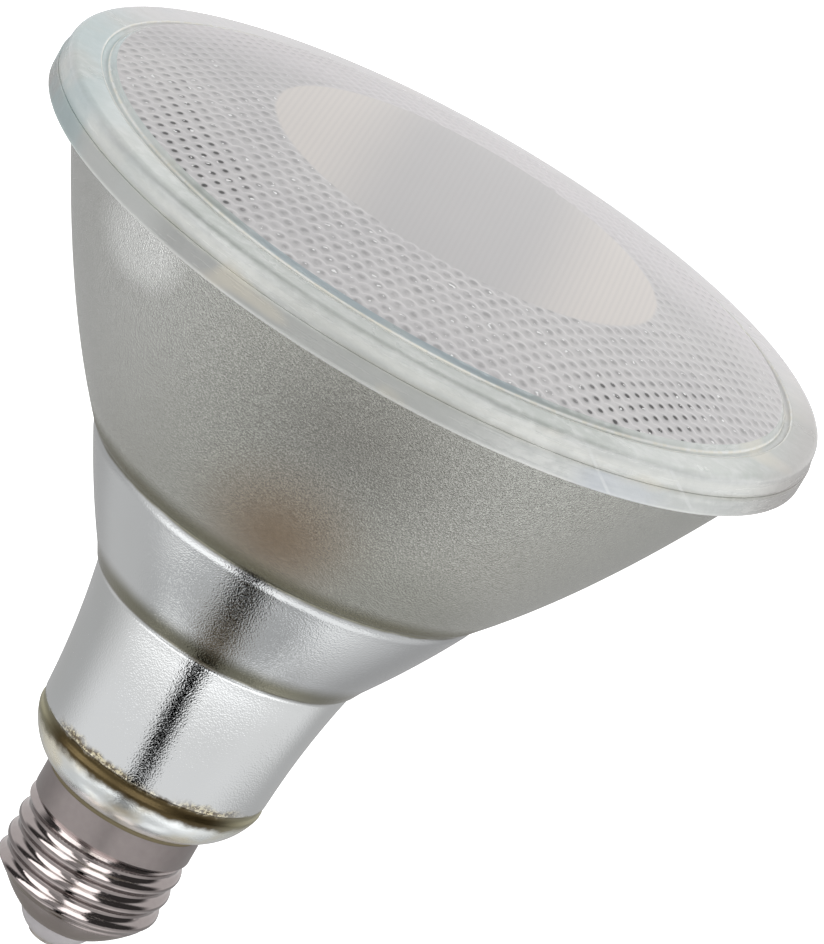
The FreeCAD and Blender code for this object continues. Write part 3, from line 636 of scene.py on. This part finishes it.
def lens_field():
    """Milky lenslets with a painted highlight on the scalloped edge between the rows and a painted dark
    image of the inside in their middle.
    """
    s = Surface("lens_field")
    x, y, _ = (s.calc("DIVIDE", axis, MM) for axis in s.axes())
    radius = s.calc("DIVIDE", s.radius(), MM)
    inside = s.span(radius, CENTRE_RADIUS - 0.5, CENTRE_RADIUS + 0.3, 1.0, 0.0)
    # Painted warm light at both ends of the centre disc
    ends = s.span(s.calc("ABSOLUTE", x), 8, 24)
    milk = s.mix(s.span(s.noise(40, 3), 0.35, 0.65), linear(206, 204, 205), linear(214, 212, 212))
    plain = s.mix(ends, linear(201, 199, 199), linear(228, 222, 217))
    lines = s.calc("PINGPONG", x, FINE_PITCH / 2)
    plain = s.mix(s.span(lines, 0.1, 0.4, 0.0, 0.14), plain, linear(182, 180, 180))
    milk = s.mix(s.times(inside, 0.85), milk, plain)

    # Painted sheen, paler towards the far side of the field
    beyond = s.times(s.span(y, 4, 34), s.minus(1.0, inside))
    milk = s.mix(s.times(beyond, 0.8), milk, linear(228, 224, 226))
    even, odd = hexagonal(s, x, y, LENSLET_PITCH)
    near = s.calc("MINIMUM", even, odd)
    wobble = s.noise(700, 2)
    contrast = s.times(s.minus(1.0, inside), s.span(y, -12, 26, 1.0, 0.25))
    # Painted highlight on the scalloped edges between the rows
    rim = s.span(s.distance(even, odd), 0.2, 1.5, 1.0, 0.0)
    rim = s.times(rim, s.span(s.noise(500, 2), 0.3, 0.65, 0.25, 0.7))
    milk = s.mix(s.times(rim, contrast), milk, linear(236, 234, 234))
    # Painted dark image of the inside in the middle of each lenslet
    blot = s.times(s.span(near, 0.05, 0.8, 1.0, 0.0), s.span(wobble, 0.3, 0.7, 0.15, 1.0))
    milk = s.mix(s.times(blot, s.times(contrast, 0.6)), milk, linear(126, 125, 126))
    # Painted crisp black points in the lenslets at both sides, towards the edge of the field
    sides = s.span(s.distance(s.calc("ABSOLUTE", x), 35), 5, 13, 1.0, 0.0)
    sides = s.times(sides, s.span(radius, 41, 47))
    point = s.times(s.span(near, 0.05, 0.3, 1.0, 0.0), s.times(contrast, sides))
    milk = s.mix(point, milk, linear(48, 46, 46))
    # Painted sparkles near the lenslets' tops
    sparkle = s.times(s.span(s.noise(1300, 0), 0.72, 0.77), s.span(near, 0.2, 0.6, 1.0, 0.0))
    milk = s.mix(s.times(sparkle, contrast), milk, linear(255, 255, 255))
    s.set(Base_Color=milk, Roughness=0.6, IOR=1.5, Transmission_Weight=0.1)
    return s.material


def make_lens():
    piece = turned("pressed_lens", lens_profile(), LENS_SEGMENTS, front_height)
    piece.data.materials.append(lens_field())
    piece.data.materials.append(milky_glass())
    milky_from = (BEAD_RADIUS - 1.3) * MM
    for face in piece.data.polygons:
        if math.hypot(face.center.x, face.center.y) > milky_from:
            face.material_index = 1
    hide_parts("front_lens")
    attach(piece, "root")


# The rest keeps its solids

METAL_GRAIN = 600
PLASTIC_GRAIN = 900
GRAIN_DEPTH = 0.00002
GRAIN_STRENGTH = 0.3


def shaded(color, share):
    return tuple(c * share for c in color[:3]) + (1.0,)


def metal(name, color, roughness):
    s = Surface(name)
    flecks = s.noise(METAL_GRAIN, 3)
    s.set(Base_Color=s.mix(flecks, shaded(color, 0.82), color), Metallic=1.0)
    s.set(Roughness=s.plus(roughness, s.times(flecks, 0.06)))
    s.bump(flecks, GRAIN_DEPTH, GRAIN_STRENGTH)
    return s.material


def plastic(name, color, roughness=0.5):
    s = Surface(name)
    flecks = s.noise(PLASTIC_GRAIN, 3)
    s.set(Base_Color=s.mix(flecks, shaded(color, 0.85), color))
    s.set(Roughness=s.plus(roughness - 0.05, s.times(flecks, 0.1)))
    s.bump(flecks, GRAIN_DEPTH, GRAIN_STRENGTH)
    return s.material


def nickel():
    """The rolled thread is polished, and the plain skirt above it and the cone below it are hazy."""
    s = Surface("nickel_plate")
    z = s.calc("DIVIDE", s.axes()[2], MM)
    thread = s.times(s.span(z, 8.2, 9.6), s.span(z, 21.0, 22.0, 1.0, 0.0))
    haze = s.noise(700, 3)
    rolled = s.noise(160, 4, stretch=(1, 1, 24), roughness=0.65)
    s.set(Base_Color=s.mix(haze, linear(156, 147, 146), linear(170, 161, 159)), Metallic=1.0)
    s.set(Roughness=s.plus(s.span(thread, 0.0, 1.0, 0.3, 0.07), s.times(haze, 0.05)))
    s.bump(rolled, 0.00004, 0.35)
    return s.material


def dress_nodes():
    """Gives each solid that stays as it is a material of its own."""
    white = plastic("white_moulding", linear(228, 228, 224))
    black = plastic("black_moulding", linear(38, 38, 42))
    looks = {
        "screw_shell": nickel(),
        "cap_insulator": plastic("insulator", linear(186, 182, 184), 0.4),
        "centre_contact": metal("contact", linear(186, 180, 174), 0.3),
        "cap_cement": plastic("cement", linear(120, 110, 84), 0.6),
        "lens_seal": plastic("adhesive", linear(222, 224, 222), 0.3),
        "heat_spreader": metal("spreader", linear(206, 207, 209), 0.35),
        "led_board": plastic("board_mask", linear(240, 240, 236), 0.35),
        "leds": plastic("phosphor", linear(240, 214, 130), 0.4),
        "board_screws": metal("screw_steel", linear(186, 186, 188), 0.25),
        "driver_sleeve": white,
        "driver_board": plastic("board_green", linear(50, 120, 70), 0.4),
        "transformer_core": plastic("ferrite", linear(62, 62, 66), 0.6),
        "transformer_bobbin": black,
        "transformer_winding": plastic("winding_tape", linear(214, 186, 70), 0.4),
        "bulk_capacitor": plastic("can_sleeve", linear(44, 50, 74), 0.35),
        "film_capacitor": plastic("film_box", linear(206, 184, 92), 0.4),
        "input_choke": black,
        "rectifier_bridge": black,
        "driver_chip": black,
        "fusible_resistor": plastic("resistor", linear(120, 148, 160), 0.4),
        "varistor": plastic("varistor", linear(60, 92, 150), 0.35),
        "line_wire": plastic("brown_wire", linear(112, 74, 54), 0.4),
        "neutral_wire": plastic("blue_wire", linear(70, 110, 170), 0.4),
        "led_positive_wire": plastic("red_wire", linear(176, 50, 46), 0.4),
        "led_negative_wire": plastic("black_wire", linear(48, 48, 52), 0.4),
    }
    looks["output_capacitor"] = looks["bulk_capacitor"]
    for name, material in looks.items():
        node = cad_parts[name]
        node.data.materials.clear()
        node.data.materials.append(material)


# Camera, light and floor

def make_camera():
    data = bpy.data.cameras.new("camera")
    data.sensor_width = SENSOR
    data.lens = FOCAL_IN_PIXELS / PICTURE_LONG_SIDE * SENSOR
    data.clip_start = 0.05
    data.clip_end = 20
    camera = bpy.data.objects.new("camera", data)
    bpy.context.collection.objects.link(camera)
    look = (CAMERA_AIM - CAMERA_PLACE).to_track_quat("-Z", "Y").to_matrix().to_4x4()
    camera.matrix_world = Matrix.Translation(CAMERA_PLACE) @ look @ Matrix.Rotation(CAMERA_ROLL, 4, "Z")
    bpy.context.scene.camera = camera


def direction(azimuth, elevation):
    """A unit vector. Azimuth 0 is where the camera stands, and elevation 90 is +Z."""
    a, e = math.radians(azimuth), math.radians(elevation)
    return (math.sin(a) * math.cos(e), -math.cos(a) * math.cos(e), math.sin(e))


def softbox(name, azimuth, elevation, distance, width, height, radiance):
    """A diffuse area light that faces the bulb's middle. No mirror, glass or camera sees it."""
    middle = (CAD_LOW + CAD_HIGH) / 2
    place = middle + distance * Vector(direction(azimuth, elevation))
    data = bpy.data.lights.new(name, "AREA")
    data.shape = "RECTANGLE"
    data.size = width
    data.size_y = height
    data.energy = radiance * math.pi * width * height
    lamp = bpy.data.objects.new(name, data)
    facing = (middle - place).to_track_quat("-Z", "Y").to_matrix().to_4x4()
    lamp.matrix_world = Matrix.Translation(place) @ facing
    lamp.visible_camera = False
    lamp.visible_glossy = False
    lamp.visible_transmission = False
    bpy.context.collection.objects.link(lamp)


class Room(NodeTree):
    """The studio that polished surfaces mirror, painted on the world by direction."""

    def __init__(self, world):
        world.use_nodes = True
        super().__init__(world.node_tree)
        self.background = self.tree.nodes["Background"]
        self.way = self.node("ShaderNodeTexCoord").outputs["Generated"]
        split = self.node("ShaderNodeSeparateXYZ")
        self.put(split.inputs[0], self.way)
        x, y, z = split.outputs
        degree = math.radians(1)
        self.azimuth = self.calc("DIVIDE", self.calc("ARCTAN2", x, self.times(y, -1.0)), degree)
        self.elevation = self.calc("DIVIDE", self.calc("ARCSINE", z), degree)

    def within(self, value, low, high, soft):
        """1 between two angles, falling to 0 over the soft angle on both sides."""
        return self.times(self.span(value, low - soft / 2, low + soft / 2),
                         self.span(value, high - soft / 2, high + soft / 2, 1.0, 0.0))

    def window(self, azimuths, elevations, soft_azimuth, soft_elevation):
        return self.times(self.within(self.azimuth, *azimuths, soft_azimuth),
                         self.within(self.elevation, *elevations, soft_elevation))

    def spot(self, azimuth, elevation, radius, soft):
        """1 within an angle of a direction."""
        dot = self.node("ShaderNodeVectorMath", operation="DOT_PRODUCT")
        self.put(dot.inputs[0], self.way)
        self.put(dot.inputs[1], direction(azimuth, elevation))
        angle = self.calc("DIVIDE", self.calc("ARCCOSINE", dot.outputs["Value"]), math.radians(1))
        return self.span(angle, radius - soft / 2, radius + soft / 2, 1.0, 0.0)

    def paint(self, share, below, grey, tint=(1.0, 1.0, 1.0)):
        return self.mix(share, below, tuple(grey * c for c in tint) + (1.0,))


ROOM_DARK = (0.07, 0.068, 0.068, 1.0)
WINDOW_LIGHT = 3.2
ROOM_DIFFUSE = 0.35


def paint_walls(room):
    """Above the horizon: dark in front, bright behind, and two tall windows with a dim wall between."""
    behind = room.span(room.calc("ABSOLUTE", room.azimuth), 96, 116)
    look = room.paint(behind, ROOM_DARK, 0.95)
    for azimuths, grey in (((-74, -28), WINDOW_LIGHT), ((-6, 33), WINDOW_LIGHT), ((-28, -6), 0.5)):
        look = room.paint(room.window(azimuths, (0, 80), 5, 10), look, grey)
    return look


def paint_ground(room, look):
    """Below the horizon: grey, paler in front, with a bright strip that the shoulder of the neck mirrors."""
    below = room.span(room.elevation, -4, -14)
    look = room.paint(below, look, 0.45)
    front = room.span(room.calc("ABSOLUTE", room.azimuth), 66, 112, 1.0, 0.0)
    look = room.paint(room.times(front, below), look, 0.74)
    look = room.paint(room.window((66, 128), (-60, -28), 30, 8), look, 0.78)
    look = room.paint(room.window((-76, 100), (-68, -42), 30, 8), look, 1.3)
    look = room.paint(room.span(room.elevation, -60, -68), look, 0.53, (0.99, 1.0, 1.0))
    return room.paint(room.window((-180, -98), (-62, -38), 14, 10), look, 0.58)


def paint_spots(room, look):
    """Two highlights for the rounded glass end, and two dull warm spots, low behind and underneath."""
    look = room.paint(room.spot(118, -71, 6, 6), look, 1.15)
    look = room.paint(room.spot(-116, -75, 6, 6), look, 1.15)
    look = room.paint(room.spot(180, -54, 20, 10), look, 0.34, (1.0, 0.96, 0.88))
    return room.paint(room.spot(8, -87, 8, 8), look, 0.17, (1.0, 0.82, 0.6))


def paint_bar(room, look):
    """The dark bar that runs down the front of the neck, and the two spots that widen it on the band."""
    lean = room.calc("MAXIMUM", room.times(room.plus(room.elevation, 25), 0.5), -6)
    gap = room.within(room.minus(room.azimuth, lean), -4, 13, 2)
    look = room.paint(room.times(gap, room.within(room.elevation, -72, -24, 6)), look, 0.0)
    look = room.paint(room.spot(5, -69, 6, 4), look, 0.0)
    return room.paint(room.spot(4, -76, 5.5, 3), look, 0.0)


def make_world():
    """Mirrors and glass see the painted room, diffuse surfaces a weak even light, the camera white."""
    world = bpy.data.worlds.new("room")
    bpy.context.scene.world = world
    world.cycles.sampling_method = "NONE"
    room = Room(world)
    look = paint_ground(room, paint_walls(room))
    look = paint_bar(room, paint_spots(room, look))
    path = room.node("ShaderNodeLightPath").outputs
    mirrored = room.calc("MAXIMUM", path["Is Glossy Ray"], path["Is Transmission Ray"])
    look = room.paint(room.minus(1.0, mirrored), look, ROOM_DIFFUSE)
    look = room.paint(path["Is Camera Ray"], look, 1.0)
    room.put(room.background.inputs["Color"], look)


FLOOR_LEVEL = -0.32
FLOOR_REACH = 6.0
FLOOR_GLOW = 0.85


def make_floor():
    """A pale floor that the camera and glass see as white, and that keeps the bulb's shadow."""
    sides = ((-1, -1), (1, -1), (1, 1), (-1, 1))
    corners = [(x * FLOOR_REACH, y * FLOOR_REACH, FLOOR_LEVEL) for x, y in sides]
    floor = mesh_object("floor", corners, [(0, 1, 2, 3)])
    s = Surface("floor")
    path = s.node("ShaderNodeLightPath").outputs
    s.set(Base_Color=s.mix(s.noise(3), linear(238, 238, 238), linear(242, 242, 242)), Roughness=0.9)
    s.set(Emission_Color=(1, 1, 1, 1))
    seen = s.calc("MAXIMUM", path["Is Camera Ray"], path["Is Transmission Ray"])
    s.set(Emission_Strength=s.times(seen, FLOOR_GLOW))
    floor.data.materials.append(s.material)
    floor.visible_glossy = False


make_bowl()
make_lens()
dress_nodes()
make_camera()
make_world()
make_floor()
softbox("left_box", -52, 12, 1.5, 1.1, 1.6, 1.5)
softbox("right_box", 50, 12, 1.5, 1.1, 1.6, 2.2)
softbox("top_box", 168, 42, 1.3, 0.7, 0.5, 8.2)
bpy.context.scene.view_settings.view_transform = "Standard"
